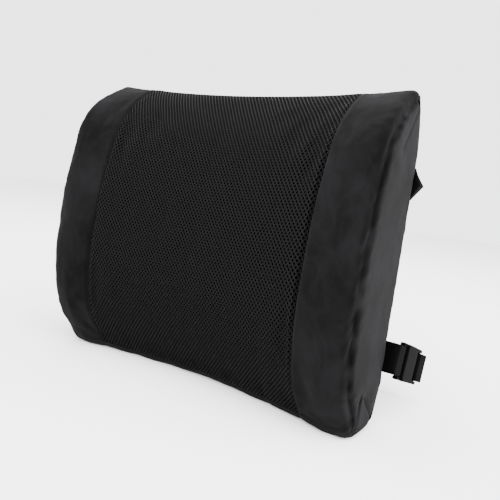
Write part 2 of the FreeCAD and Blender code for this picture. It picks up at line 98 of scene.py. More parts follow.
def add(tree, kind, links=(), **settings):
    """A node with its settings; links are (own input, value) or (own input, other node, its output)."""
    node = tree.nodes.new(kind)
    for name, value in settings.items():
        setattr(node, name, value)
    for socket, *source in links:
        if len(source) == 1:
            node.inputs[socket].default_value = source[0]
        else:
            tree.links.new(source[0].outputs[source[1]], node.inputs[socket])
    return node


def finish_tree(name):
    material = bpy.data.materials.new(name)
    material.use_nodes = True
    material.node_tree.nodes.clear()
    return material, material.node_tree


def velour(name, dark, light, lean=0.0):
    """Brushed polyester velour, warp knitted and cropped to a pile of 2 mm. The eye reads soft grey
    patches where the nap has been stroked different ways, and a paler bloom along every edge."""
    material, tree = finish_tree(name)
    place = add(tree, "ShaderNodeTexCoord")
    # stroked patches, 45 mm and 14 mm across, drawn out along the height
    turned = add(tree, "ShaderNodeMapping", [("Vector", place, "Object"), ("Scale", (1.0, 1.0, 0.62)),
                                             ("Rotation", (0.0, 0.35 + lean, 0.0))])
    patches = add(tree, "ShaderNodeTexNoise", [("Vector", turned, "Vector"), ("Scale", 1 / 0.045),
                                               ("Detail", 2.0), ("Roughness", 0.5), ("Distortion", 0.6)])
    strokes = add(tree, "ShaderNodeTexNoise", [("Vector", turned, "Vector"), ("Scale", 1 / 0.014),
                                               ("Detail", 3.0), ("Roughness", 0.6), ("Distortion", 1.2)])
    nap = add(tree, "ShaderNodeMix", [("Factor", 0.38), ("A", patches, "Fac"), ("B", strokes, "Fac")],
              data_type="FLOAT")
    tone = add(tree, "ShaderNodeValToRGB", [("Fac", nap, "Result")])
    tone.color_ramp.elements[0].position, tone.color_ramp.elements[0].color = 0.36, colour(dark)
    tone.color_ramp.elements[1].position, tone.color_ramp.elements[1].color = 0.64, colour(light)
    # painted shade in the side-seam creases: where the cover's crease-shade attribute is high, the colour is
    # mixed towards near black
    pressed = add(tree, "ShaderNodeAttribute", attribute_name="seam_crease_shade")
    share = add(tree, "ShaderNodeMath", [(0, pressed, "Fac"), (1, 0.95)], operation="MULTIPLY")
    shaded = add(tree, "ShaderNodeMix", [("Factor", share, "Value"), ("A", tone, "Color"),
                                         ("B", colour("#020202"))], data_type="RGBA")
    # pile tufts of 0.9 mm
    tufts = add(tree, "ShaderNodeTexNoise", [("Vector", place, "Object"), ("Scale", 1 / 0.0009),
                                             ("Detail", 2.0)])
    grain = add(tree, "ShaderNodeBump", [("Height", tufts, "Fac"), ("Strength", 0.35), ("Distance", 0.0004)])
    pile = add(tree, "ShaderNodeBump", [("Height", strokes, "Fac"), ("Strength", 0.25), ("Distance", 0.0012),
                                        ("Normal", grain, "Normal")])
    shader = add(tree, "ShaderNodeBsdfPrincipled",
                 [("Base Color", shaded, "Result"), ("Normal", pile, "Normal"), ("Roughness", 0.92),
                  ("Specular IOR Level", 0.04), ("Sheen Weight", 0.02), ("Sheen Roughness", 0.5),
                  ("Sheen Tint", colour("#c9c9d0"))])
    add(tree, "ShaderNodeOutputMaterial", [("Surface", shader, "BSDF")])
    return material


def knitted_mesh():
    """Warp-knitted polyester spacer mesh. Its yarns are bright filaments, so the bars of the net catch the
    light while the holes stay almost black."""
    material, tree = finish_tree("spacer_mesh_knit")
    place = add(tree, "ShaderNodeTexCoord")
    # filaments of 0.35 mm in the bars
    yarn = add(tree, "ShaderNodeTexNoise", [("Vector", place, "Object"), ("Scale", 1 / 0.0007),
                                            ("Detail", 2.0)])
    tone = add(tree, "ShaderNodeValToRGB", [("Fac", yarn, "Fac")])
    tone.color_ramp.elements[0].position, tone.color_ramp.elements[0].color = 0.3, colour("#060606")
    tone.color_ramp.elements[1].position, tone.color_ramp.elements[1].color = 0.7, colour("#111111")
    relief = add(tree, "ShaderNodeBump", [("Height", yarn, "Fac"), ("Strength", 0.5), ("Distance", 0.0003)])
    shader = add(tree, "ShaderNodeBsdfPrincipled",
                 [("Base Color", tone, "Color"), ("Normal", relief, "Normal"), ("Roughness", 0.62),
                  ("Specular IOR Level", 0.05), ("Sheen Weight", 0.008), ("Sheen Roughness", 0.5)])
    add(tree, "ShaderNodeOutputMaterial", [("Surface", shader, "BSDF")])
    return material


def plain(name, code, other, scale, roughness, specular=0.5, strength=0.2, distance=0.0002):
    """A finish of two close tones with a fine relief, for the small pieces."""
    material, tree = finish_tree(name)
    place = add(tree, "ShaderNodeTexCoord")
    grain = add(tree, "ShaderNodeTexNoise", [("Vector", place, "Object"), ("Scale", 1 / scale),
                                             ("Detail", 3.0)])
    tone = add(tree, "ShaderNodeValToRGB", [("Fac", grain, "Fac")])
    tone.color_ramp.elements[0].position, tone.color_ramp.elements[0].color = 0.35, colour(code)
    tone.color_ramp.elements[1].position, tone.color_ramp.elements[1].color = 0.65, colour(other)
    relief = add(tree, "ShaderNodeBump", [("Height", grain, "Fac"), ("Strength", strength),
                                          ("Distance", distance)])
    shader = add(tree, "ShaderNodeBsdfPrincipled",
                 [("Base Color", tone, "Color"), ("Normal", relief, "Normal"), ("Roughness", roughness),
                  ("Specular IOR Level", specular)])
    add(tree, "ShaderNodeOutputMaterial", [("Surface", shader, "BSDF")])
    return material


def webbing():
    """Woven polypropylene webbing. Its weft ribs cross it every 1.6 mm and its two selvedges stand up."""
    material, tree = finish_tree("polypropylene_webbing_woven")
    place = add(tree, "ShaderNodeUVMap", uv_map="along")
    split = add(tree, "ShaderNodeSeparateXYZ", [("Vector", place, "UV")])
    ribs = add(tree, "ShaderNodeMath", [(0, split, "X"), (1, math.tau / 1.6)], operation="MULTIPLY")
    rib = add(tree, "ShaderNodeMath", [(0, ribs, "Value")], operation="SINE")
    warps = add(tree, "ShaderNodeMath", [(0, split, "Y"), (1, math.tau / 1.9)], operation="MULTIPLY")
    warp = add(tree, "ShaderNodeMath", [(0, warps, "Value")], operation="SINE")
    weave = add(tree, "ShaderNodeMath", [(0, rib, "Value"), (1, warp, "Value")], operation="MULTIPLY")
    tone = add(tree, "ShaderNodeValToRGB", [("Fac", weave, "Value")])
    tone.color_ramp.elements[0].position, tone.color_ramp.elements[0].color = 0.0, colour("#020202")
    tone.color_ramp.elements[1].position, tone.color_ramp.elements[1].color = 1.0, colour("#040404")
    relief = add(tree, "ShaderNodeBump", [("Height", weave, "Value"), ("Strength", 0.6),
                                          ("Distance", 0.0003)])
    shader = add(tree, "ShaderNodeBsdfPrincipled",
                 [("Base Color", tone, "Color"), ("Normal", relief, "Normal"), ("Roughness", 0.7),
                  ("Specular IOR Level", 0.012)])
    add(tree, "ShaderNodeOutputMaterial", [("Surface", shader, "BSDF")])
    return material


# two copies of one velour: the side copy is painted lighter than the front copy, for the light that falls on
# the side faces, and the back and base panels take the lighter copy too
VELOUR_FRONT = velour("velour_brushed_front", "#050505", "#101011")
VELOUR_PAINTED_LIGHTER = velour("velour_brushed_painted_lighter", "#090909", "#141415", 0.5)
MESH_KNIT = knitted_mesh()
# the inner face under the holes is a real layer of the mesh, but it is painted near black, darker than the
# same yarn in the bars, as painted shade in the holes
HOLE_DARK = plain("spacer_mesh_inner_face_painted_shade", "#010101", "#020202", 0.0012, 0.95, 0.005)
WEBBING = webbing()
ACETAL = plain("acetal_moulded_satin", "#040404", "#070707", 0.0012, 0.5, 0.005, 0.15, 0.0001)
ZIP_TAPE = plain("polyester_tape_woven", "#0a0a0b", "#101011", 0.0009, 0.85, 0.06, 0.4)
ZIP_COIL = plain("polyester_coil_moulded", "#0c0c0d", "#141415", 0.002, 0.5, 0.15)
ZIP_METAL = plain("zinc_painted_black", "#0a0a0b", "#101011", 0.003, 0.35, 0.3, 0.1, 0.0001)
FOAM = plain("polyurethane_foam_moulded", "#d8d2c2", "#e6e1d4", 0.0015, 0.9, 0.2, 0.6, 0.0006)

# ------------------------------------------------------------------ the cushion's form


def relief_at(x):
    here = np.abs(x) / HALF
    return np.interp(here, RELIEF_AT, RELIEF_BASE), np.interp(here, RELIEF_AT, RELIEF_TOP)


def smooth_curve(points, counts, start, end):
    """Hermite curve in (y, z) through points, with given directions at its ends."""
    points = np.array(points)
    spans = np.linalg.norm(np.diff(points, axis=0), axis=1)
    slopes = np.zeros_like(points)
    steps = np.diff(points, axis=0) / spans[:, None]
    for i in range(1, len(points) - 1):
        share = spans[i - 1] / (spans[i - 1] + spans[i])
        slopes[i] = steps[i - 1] * (1 - share) + steps[i] * share
    slopes[0], slopes[-1] = start, end
    total = np.concatenate(([0.0], np.cumsum(spans)))
    out = []
    for s in np.linspace(0, total[-1], counts):
        i = min(int(np.searchsorted(total, s, side="right")) - 1, len(spans) - 1)
        t, h = (s - total[i]) / spans[i], spans[i]
        a, b, m, n = points[i], points[i + 1], slopes[i] * h, slopes[i + 1] * h
        out.append(a * (2 * t ** 3 - 3 * t ** 2 + 1) + m * (t ** 3 - 2 * t ** 2 + t)
                   + b * (3 * t ** 2 - 2 * t ** 3) + n * (t ** 3 - t ** 2))
    return np.array(out)


SLOT_HALF = 4.5             # half the opening between the back panels, over the zipper
BACK_ROWS = (70, 4, 5)      # points down the back: above the opening, across it and below it
COUNTS = {"base_arc": 6, "front": 92, "nose": 10, "back": sum(BACK_ROWS) - 2, "heel": 6, "base": 12}
RING = sum(COUNTS.values()) - len(COUNTS)
STARTS = {}
for stretch in COUNTS:
    STARTS[stretch] = sum(COUNTS[earlier] - 1 for earlier in STARTS)


def outline(x, inset=0.0):
    """Closed outline of the cushion in the plane of one x, as (y, z) rows, from under the front edge up
    the front, over the nose, down the back and along the base."""
    low, high = relief_at(x)
    height = HEIGHT - TOP_DIP * (1 - (x / HALF) ** 2)
    centre_y = -(BASE_DEPTH + low) + BASE_R * (1 - math.sin(BASE_FLARE)) / math.cos(BASE_FLARE)

    def arc(cy, cz, radius, start, end, count):
        a = np.linspace(start, end, count)
        return np.stack((cy + radius * np.cos(a), cz + radius * np.sin(a)), axis=1)

    base_arc = arc(centre_y, BASE_R, BASE_R, -math.pi / 2, -math.pi + BASE_FLARE, COUNTS["base_arc"])
    nose = arc(-TOP_R, height - TOP_R, TOP_R, math.pi / 2 + TOP_SLOPE, 0.0, COUNTS["nose"])
    heel = arc(-BASE_R, BASE_R, BASE_R, 0.0, -math.pi / 2, COUNTS["heel"])
    middle = [(-depth - (low + (high - low) * share), share * height) for share, depth in SIDE_OUTLINE]
    front = smooth_curve([base_arc[-1], *middle, nose[0]], COUNTS["front"],
                         (-math.sin(BASE_FLARE), math.cos(BASE_FLARE)),
                         (math.cos(TOP_SLOPE), math.sin(TOP_SLOPE)))
    down = np.concatenate((np.linspace(nose[-1][1], ZIP_Z + SLOT_HALF, BACK_ROWS[0]),
                           np.linspace(ZIP_Z + SLOT_HALF, ZIP_Z - SLOT_HALF, BACK_ROWS[1])[1:],
                           np.linspace(ZIP_Z - SLOT_HALF, BASE_R, BACK_ROWS[2])[1:]))
    back = np.column_stack((np.zeros(len(down)), down))
    base = np.linspace(heel[-1], base_arc[0], COUNTS["base"])
    ring = np.concatenate([part[:-1] for part in (base_arc, front, nose, back, heel, base)])
    if inset:
        along = np.roll(ring, -1, axis=0) - np.roll(ring, 1, axis=0)
        along /= np.linalg.norm(along, axis=1)[:, None]
        ring = ring + np.stack((along[:, 1], -along[:, 0]), axis=1) * inset
    return ring


SIDE_SHARES = (0.015, 0.035, 0.065, 0.11, 0.17, 0.26, 0.38, 0.52, 0.68, 0.84, 1.0)


def stations():
    """(x, inset, share of the way in across the side face) of every ring, from the left spine to the
    right. The rings lie closer together by the seams of the mesh."""
    flat = np.concatenate((np.linspace(0, 129, 33), (131.5, 133.5, MESH_HALF, 136.5, 138.5),
                           np.linspace(141.5, HALF - EDGE_R, 12)))
    rows = [(x, 0.0, 0.0) for x in flat]
    for turn in np.linspace(0, math.pi / 2, 6)[1:]:
        rows.append((HALF - EDGE_R + EDGE_R * math.sin(turn), EDGE_R * (1 - math.cos(turn)), 0.0))
    rows += [(HALF, EDGE_R, share) for share in SIDE_SHARES]
    return [(-x, i, s) for x, i, s in reversed(rows[1:])] + rows


# the cover is pulled into a crisper corner along the back than along the front, between these places
BACK_CORNER = (STARTS["back"], STARTS["back"] + 8, STARTS["back"] + 66, STARTS["heel"] + 1)
CRISP = 0.85
# a side face's middle line stops this far above the base and below the top, in steps of its own
SPINE_LOW, SPINE_HIGH, SPINE_STEP = 44.0, HEIGHT - 62.0, 4.0


def ring_in(x, inset, share):
    """One ring of the cover; on a side face it shrinks by share towards an upright line in its middle."""
    yz = outline(x, inset)
    yz[:, 0] += CRISP * inset * np.interp(np.arange(RING), BACK_CORNER, (0.0, 1.0, 1.0, 0.0))
    heights = np.round(np.clip(yz[:, 1], SPINE_LOW, SPINE_HIGH) / SPINE_STEP) * SPINE_STEP
    middle = np.column_stack((np.full(len(yz), (yz[:, 0].max() + yz[:, 0].min()) / 2), heights))
    return yz + (middle - yz) * share


def new_object(name, points, faces, materials, smooth=True):
    mesh = bpy.data.meshes.new(name)
    mesh.from_pydata([tuple(p) for p in points], [], faces)
    for material in materials:
        mesh.materials.append(material)
    mesh.polygons.foreach_set("use_smooth", [smooth] * len(mesh.polygons))
    mesh.validate()
    mesh.update()
    obj = bpy.data.objects.new(name, mesh)
    bpy.context.scene.collection.objects.link(obj)
    return obj


STATIONS = stations()
COUNT = len(STATIONS)
# places in the ring: the seams that run across, and the edges of the zipper's opening
BASE_SEAM = STARTS["front"] + 1
TOP_SEAM = STARTS["nose"] + 5
SLOT_TOP = STARTS["back"] + BACK_ROWS[0] - 1
SLOT_BOTTOM = SLOT_TOP + BACK_ROWS[1] - 1
BACK_SEAM = STARTS["heel"] + 2
# stations: the seams that run up the front, and those between the side panels and the rest
MESH_SEAMS = [i for i, row in enumerate(STATIONS) if abs(abs(row[0]) - MESH_HALF) < 0.01]
SIDE_SEAMS = [COUNT - 1 - max(i for i, row in enumerate(STATIONS) if row[2] == 0.0),
              max(i for i, row in enumerate(STATIONS) if row[2] == 0.0)]

FORM = np.array([np.column_stack((np.full(RING, x), yz[:, 0] + BACK_Y, np.maximum(yz[:, 1] - TRIM, 0.0)))
                 for x, yz in ((x, ring_in(x, i, share)) for x, i, share in STATIONS)])
# the ring's points that meet on a side face's upright line are one point of the mesh
_, FIRST, SHARED = np.unique(np.round(FORM.reshape(-1, 3), 3), axis=0, return_index=True, return_inverse=True)
SHARED = SHARED.reshape(COUNT, RING)


def vertex(s, k):
    return int(SHARED[s, k % RING])


def quads(keep):
    """Faces of the shell whose station and place in the ring are wanted."""
    faces = []
    for s in range(COUNT - 1):
        for k in range(RING):
            if keep(s, k):
                corners = dict.fromkeys((vertex(s, k), vertex(s + 1, k),
                                         vertex(s + 1, k + 1), vertex(s, k + 1)))
                if len(corners) > 2:
                    faces.append(tuple(corners))
    return faces


def normals(form):
    """Outward unit normal at every point of the shell grid."""
    along = np.roll(form, -1, axis=1) - np.roll(form, 1, axis=1)
    across = np.gradient(form, axis=0)
    out = np.cross(across, along)
    return out / np.maximum(np.linalg.norm(out, axis=2), 1e-9)[..., None]


def spans(form, axis):
    """Running length through the grid along one of its directions."""
    steps = np.linalg.norm(np.diff(form, axis=axis), axis=2)
    start = np.zeros_like(np.take(steps, [0], axis=axis))
    return np.concatenate((start, np.cumsum(steps, axis=axis)), axis=axis)


def held_points():
    """Points that the seams, the zipper and the surface under the base keep where they are."""
    held = np.zeros((COUNT, RING), bool)
    held[MESH_SEAMS, BASE_SEAM:TOP_SEAM] = True
    held[SIDE_SEAMS, :] = True
    held[SIDE_SEAMS[0]:SIDE_SEAMS[1] + 1, [BASE_SEAM, TOP_SEAM, BACK_SEAM]] = True
    held[SIDE_SEAMS[0]:SIDE_SEAMS[1] + 1, SLOT_TOP - 1:SLOT_BOTTOM + 2] = True
    held[:, STARTS["base"] + 1:] = True
    return held


def blown(form):
    """The cover as a cloth over its foam: held along its seams and pressed out from inside."""
    obj = new_object("cover_form", form.reshape(-1, 3)[FIRST] * MM, quads(lambda s, k: True), [])
    group = obj.vertex_groups.new(name="held")
    group.add([int(i) for i in np.flatnonzero(held_points().ravel()[FIRST])], 1.0, "REPLACE")
    cloth = obj.modifiers.new("cloth", "CLOTH")
    cloth.settings.quality = 4
    cloth.settings.mass = 0.25
    cloth.settings.tension_stiffness = cloth.settings.compression_stiffness = 12.0
    cloth.settings.bending_stiffness = 0.6
    cloth.settings.vertex_group_mass = "held"
    cloth.settings.use_pressure = True
    cloth.settings.uniform_pressure_force = 4.0
    cloth.settings.shrink_min = -0.008
    cloth.settings.effector_weights.gravity = 0.0
    cloth.collision_settings.use_collision = False
    scene = bpy.context.scene
    for step in range(1, 21):
        scene.frame_set(step)
    evaluated = obj.evaluated_get(bpy.context.evaluated_depsgraph_get())
    out = np.empty(len(obj.data.vertices) * 3)
    evaluated.data.vertices.foreach_get("co", out)
    bpy.data.objects.remove(obj)
    scene.frame_set(1)
    return out.reshape(-1, 3)[SHARED] / MM


def capped(start, end, most):
    """The points of end, none of them further than most from its place in start."""
    move = end - start
    size = np.maximum(np.linalg.norm(move, axis=2), 1e-9)
    return start + move * (most * np.tanh(size / most) / size)[..., None]


def field(points, scale, seed):
    """Smooth noise at every grid point, with lumps of that size in millimetres."""
    flat = points.reshape(-1, 3) / scale
    values = [noise.noise(Vector((x + seed, y, z))) for x, y, z in flat]
    return np.array(values).reshape(points.shape[:2])


# ------------------------------------------------------------------ sewing, wrinkles and painted shade along the side seams

START_INSET = 1.5           # the cloth swells, so it starts smaller
MOST_SIDE, MOST_MESH, MOST_FRONT = 1.2, 2.0, 3.5    # how far the cloth may move a point

out_of = normals(FORM)
most = np.array([[MOST_SIDE if row[2] else MOST_MESH if abs(row[0]) < MESH_HALF else MOST_FRONT]
                 for row in STATIONS])
cover = capped(FORM, blown(FORM - out_of * START_INSET * ~held_points()[..., None]), most)

length_across, length_along = spans(cover, 0), spans(cover, 1)
out_of = normals(cover)


def near(lengths, index, axis):
    """Distance through the cover from one seam, which is a station or a place in the ring."""
    return np.abs(lengths - np.take(lengths, [index], axis=axis))


SEAM_WIDTH = 2.4            # how far a seam's hollow reaches
MESH_SINK, MESH_RIDGE = 1.6, 0.8
SIDE_SINK, SIDE_WIDTH = 3.2, 4.2
CROSS_SINK = 1.0

# how far the sewing pulls the cover in
sink = np.zeros((COUNT, RING))
front = np.zeros((COUNT, RING))
front[:, BASE_SEAM:TOP_SEAM + 1] = 1.0
for seam, outwards in zip(MESH_SEAMS, (-1, 1)):
    beyond = (length_across - length_across[seam]) * outwards
    sink += front * (MESH_SINK * np.exp(-(beyond / SEAM_WIDTH) ** 2)
                     - MESH_RIDGE * np.exp(-((beyond - 3.2) / 1.4) ** 2))
side_gap = np.minimum(near(length_across, SIDE_SEAMS[0], 0), near(length_across, SIDE_SEAMS[1], 0))
# the side seams lie deep along the front and shallow along the back
deep = np.interp(np.arange(RING), (0, BASE_SEAM, TOP_SEAM, TOP_SEAM + 8, RING - 6, RING),
                 (0.6, 1.0, 1.0, 0.15, 0.15, 0.6))
sink += SIDE_SINK * deep * np.exp(-(side_gap / SIDE_WIDTH) ** 2)
for seam in (BASE_SEAM, TOP_SEAM, BACK_SEAM):
    sink += CROSS_SINK * np.exp(-(near(length_along, seam, 1) / SEAM_WIDTH) ** 2) * (side_gap > 1.0)

# puckers that run across the side seams, and soft dents in the velour
wander = field(cover, 28.0, 3.0)
pucker = np.sin(length_along / 14.0 * math.tau * 0.5 + wander * 7.0) * (0.5 + field(cover, 45.0, 11.0))
wrinkle = 1.1 * deep * pucker * np.exp(-np.abs(side_gap - 4.0) / 7.0)
velour_only = (np.abs(cover[..., 0]) > MESH_HALF + 3.0) | (front < 0.5)
wrinkle += velour_only * (0.7 * field(cover, 46.0, 23.0) + 0.25 * field(cover, 16.0, 31.0))
on_base = cover[..., 2] < 3.0
wrinkle[on_base] = np.minimum(wrinkle[on_base], 0.0)
cover = cover + out_of * (wrinkle - sink)[..., None]
cover[..., 2] = np.maximum(cover[..., 2], 0.0)
out_of = normals(cover)

# painted shade along the side-seam creases, in blots, deepest along the front
seam_crease_shade = deep * np.exp(-(side_gap / 9.5) ** 4) * np.clip(0.7 + 1.3 * field(cover, 11.0, 51.0), 0, 1)

side_left = lambda s, k: s < SIDE_SEAMS[0]
side_right = lambda s, k: s >= SIDE_SEAMS[1]
body_of_cover = lambda s, k: not side_left(s, k) and not side_right(s, k)
on_front = lambda s, k: body_of_cover(s, k) and BASE_SEAM <= k < TOP_SEAM
in_slot = lambda s, k: (SLOT_TOP <= k < SLOT_BOTTOM
                        and abs(STATIONS[s][0] + STATIONS[s + 1][0]) / 2 < ZIP_HALF)
PANELS = {
    "left_front_panel": (lambda s, k: on_front(s, k) and s < MESH_SEAMS[0], VELOUR_FRONT),
    "right_front_panel": (lambda s, k: on_front(s, k) and s >= MESH_SEAMS[1], VELOUR_FRONT),
    # the side, back and base panels take the velour copy that is painted lighter for the light on the side
    # faces
    "left_side_panel": (side_left, VELOUR_PAINTED_LIGHTER),
    "right_side_panel": (side_right, VELOUR_PAINTED_LIGHTER),
    "back_panel": (lambda s, k: body_of_cover(s, k) and TOP_SEAM <= k < SLOT_BOTTOM and not in_slot(s, k),
                   VELOUR_PAINTED_LIGHTER),
    "back_panel_lower_strip": (lambda s, k: body_of_cover(s, k) and SLOT_BOTTOM <= k < BACK_SEAM,
                               VELOUR_PAINTED_LIGHTER),
    "base_panel": (lambda s, k: body_of_cover(s, k) and (k >= BACK_SEAM or k < BASE_SEAM), VELOUR_PAINTED_LIGHTER),
}


def trimmed(obj):
    """Drops the points that no face uses."""
    work = bmesh.new()
    work.from_mesh(obj.data)
    bmesh.ops.delete(work, geom=[v for v in work.verts if not v.link_faces], context="VERTS")
    work.to_mesh(obj.data)
    work.free()


def apply_modifiers(obj):
    """The piece as a plain mesh with its modifiers in it."""
    graph = bpy.context.evaluated_depsgraph_get()
    mesh = bpy.data.meshes.new_from_object(obj.evaluated_get(graph))
    obj.modifiers.clear()
    obj.data = mesh


HEM = 1.4                   # turned-in edge of the back panels, by the zipper


def cover_panel(name, keep, material):
    """One panel of the cover, cut from the shell along its seams."""
    obj = new_object(name + "_cover", cover.reshape(-1, 3)[FIRST] * MM, quads(keep), [material])
    # the painted crease shade goes with the panel as a point attribute, for its velour's colour
    obj.data.attributes.new("seam_crease_shade", "FLOAT", "POINT").data.foreach_set("value", seam_crease_shade.ravel()[FIRST])
    trimmed(obj)
    finer = obj.modifiers.new("finer", "SUBSURF")
    finer.levels = finer.render_levels = 1
    if name.startswith("back_panel"):
        hem = obj.modifiers.new("hem", "SOLIDIFY")
        hem.thickness, hem.offset = HEM * MM, -1.0
    apply_modifiers(obj)
    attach(obj, "cushion")
    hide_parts(name)


for name, (keep, material) in PANELS.items():
    cover_panel(name, keep, material)

# ------------------------------------------------------------------ the net of the centre panel

CELL_WIDE, CELL_TALL = 4.15, 5.7


def net_points():
    """Corners and faces of a net of diamonds over the centre panel, on the cover's own surface."""
    left, right = MESH_SEAMS
    xs = np.array([row[0] for row in STATIONS[left:right + 1]])
    middle = length_along[COUNT // 2, BASE_SEAM:TOP_SEAM + 1]
    tall = middle[-1] - middle[0]
    columns = 2 * round(2 * MESH_HALF / CELL_WIDE)
    rows = 2 * round(tall / CELL_TALL)
    patch = cover[left:right + 1, BASE_SEAM:TOP_SEAM + 1]
    s_at = np.interp(np.linspace(-MESH_HALF, MESH_HALF, columns + 1), xs, np.arange(len(xs)))
    k_at = np.interp(np.linspace(0, tall, rows + 1), middle - middle[0], np.arange(patch.shape[1]))
    s0 = np.minimum(s_at.astype(int), patch.shape[0] - 2)
    k0 = np.minimum(k_at.astype(int), patch.shape[1] - 2)
    over, along = (s_at - s0)[:, None, None], (k_at - k0)[None, :, None]
    grid = ((patch[s0][:, k0] * (1 - over) + patch[s0 + 1][:, k0] * over) * (1 - along)
            + (patch[s0][:, k0 + 1] * (1 - over) + patch[s0 + 1][:, k0 + 1] * over) * along)
    place = lambda i, j: i * (rows + 1) + j
    faces = []
    for i in range(columns + 1):
        for j in range(rows + 1):
            if (i + j) % 2 == 0:
                continue
            around = [(i, j - 1), (i + 1, j), (i, j + 1), (i - 1, j)]
            inside = [place(a, b) for a, b in around if 0 <= a <= columns and 0 <= b <= rows]
            if len(inside) == 4:
                faces.append(tuple(inside))
            elif len(inside) == 3:
                faces.append(tuple(place(a, b) if 0 <= a <= columns and 0 <= b <= rows else place(i, j)
                                   for a, b in around))
    return grid.reshape(-1, 3), faces


def net_tree():
    """Geometry nodes that open a hole in every cell of the net and sink its floor."""
    tree = bpy.data.node_groups.new("net_of_holes", "GeometryNodeTree")
    face = tree.interface
    face.new_socket("Geometry", in_out="INPUT", socket_type="NodeSocketGeometry")
    for label, value in (("Hole Share", 0.6), ("Hole Depth", 0.0014), ("Bar Height", 0.0005)):
        face.new_socket(label, in_out="INPUT", socket_type="NodeSocketFloat").default_value = value
    for label in ("Bars", "Floor"):
        face.new_socket(label, in_out="INPUT", socket_type="NodeSocketMaterial")
    face.new_socket("Geometry", in_out="OUTPUT", socket_type="NodeSocketGeometry")
    given = add(tree, "NodeGroupInput")
    rim = add(tree, "GeometryNodeExtrudeMesh", [("Mesh", given, "Geometry"), ("Individual", True),
                                                ("Offset Scale", given, "Bar Height")], mode="FACES")
    opened = add(tree, "GeometryNodeScaleElements", [("Geometry", rim, "Mesh"), ("Selection", rim, "Top"),
                                                     ("Scale", given, "Hole Share")])
    down = add(tree, "ShaderNodeMath", [(0, given, "Hole Depth"), (1, -1.0)], operation="MULTIPLY")
    sunk = add(tree, "GeometryNodeExtrudeMesh", [("Mesh", opened, "Geometry"), ("Selection", rim, "Top"),
                                                 ("Offset Scale", down, "Value"), ("Individual", True)],
               mode="FACES")
    bars = add(tree, "GeometryNodeSetMaterial", [("Geometry", sunk, "Mesh"), ("Material", given, "Bars")])
    floor = add(tree, "GeometryNodeSetMaterial", [("Geometry", bars, "Geometry"), ("Selection", sunk, "Top"),
                                                  ("Material", given, "Floor")])
    joined = add(tree, "GeometryNodeRealizeInstances", [("Geometry", floor, "Geometry")])
    add(tree, "NodeGroupOutput", [("Geometry", joined, "Geometry")])
    return tree


def with_nodes(obj, tree, **values):
    """Runs a node tree on a piece, with its inputs given by name, and keeps the result as a plain mesh."""
    modifier = obj.modifiers.new(tree.name, "NODES")
    modifier.node_group = tree
    for item in tree.interface.items_tree:
        if item.in_out == "INPUT" and item.name in values:
            modifier[item.identifier] = values[item.name]
    apply_modifiers(obj)


points, faces = net_points()
net = new_object("mesh_front_panel_net", points * MM, faces, [MESH_KNIT, HOLE_DARK], smooth=False)
trimmed(net)
# the floor of every hole takes the inner face's finish, painted near black for the shade in the holes
with_nodes(net, net_tree(), **{"Hole Share": 0.66, "Hole Depth": 0.0016, "Bar Height": 0.0004,
                               "Bars": MESH_KNIT, "Floor": HOLE_DARK})
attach(net, "cushion")
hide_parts("mesh_front_panel")

# ------------------------------------------------------------------ foam core, inside the cover

CORE_SHARES = (0.95, 0.80, 0.90)    # of the cover's width, depth and height

outside = FORM.reshape(-1, 3)
middle = (outside.max(axis=0) + outside.min(axis=0)) / 2
core = new_object("foam_core_block", ((outside[FIRST] - middle) * CORE_SHARES + middle) * MM,
                  quads(lambda s, k: True), [FOAM])
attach(core, "cushion")
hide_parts("foam_core")

# ------------------------------------------------------------------ straps

ROOT_Y = -3.0               # ahead of the back panel, where the webbing leaves the side seams
BAR_RADIUS = 1.9            # the buckle's two bars
BAR_GAP = 0.4               # between a bar and the webbing round it
RING_R = BAR_RADIUS + BAR_GAP + WEB_WALL / 2
PLUG_BAR_AT = 54.0          # the plug's bar, from the socket's bar
SEAM_TAIL = 7.0             # webbing sewn in, inside the side seams
# z is the height of the sewn ends, droop and heading are degrees, and at is how far the socket's bar is
# past the last turn. turns are (out from the side, back, radius). corner is the bend after the plug, as
# (from the plug's bar, radius), and corners are (x, y, radius) on the way to the left seam. slack is where
# the long webbing meets the slack webbing: (bends before it, distance past the last or the plug's bar).
STRAPS = {
    "lower_strap": {"z": 73.5, "droop": 17.0, "heading": 86.0, "turns": ((8.5, 0.0, 6.5),), "at": 20.0,
                    "corner": (36.0, 17.0),
                    "corners": ((-HALF + 30.0, 82.0, 60.0), (-HALF - 20.0, 30.0, 24.0),
                                (-HALF - 14.0, ROOT_Y, 8.0)),
                    "slack": (1, 30.0)},
    "upper_strap": {"z": 243.0, "droop": 3.0, "heading": 176.0,
                    "turns": ((6.5, 0.0, 3.5), (6.5, 15.0, 6.0), (-14.0, 52.0, 16.0)), "at": 36.0,
                    "corner": (252.0, 60.0),
                    "corners": ((-HALF - 12.0, 28.0, 20.0), (-HALF - 8.0, ROOT_Y, 5.0)),
                    "slack": (0, 43.0)},
}


def in_plane(x, y):
    """A place or a way in a strap's own plane."""
    return np.array((x, y), float)


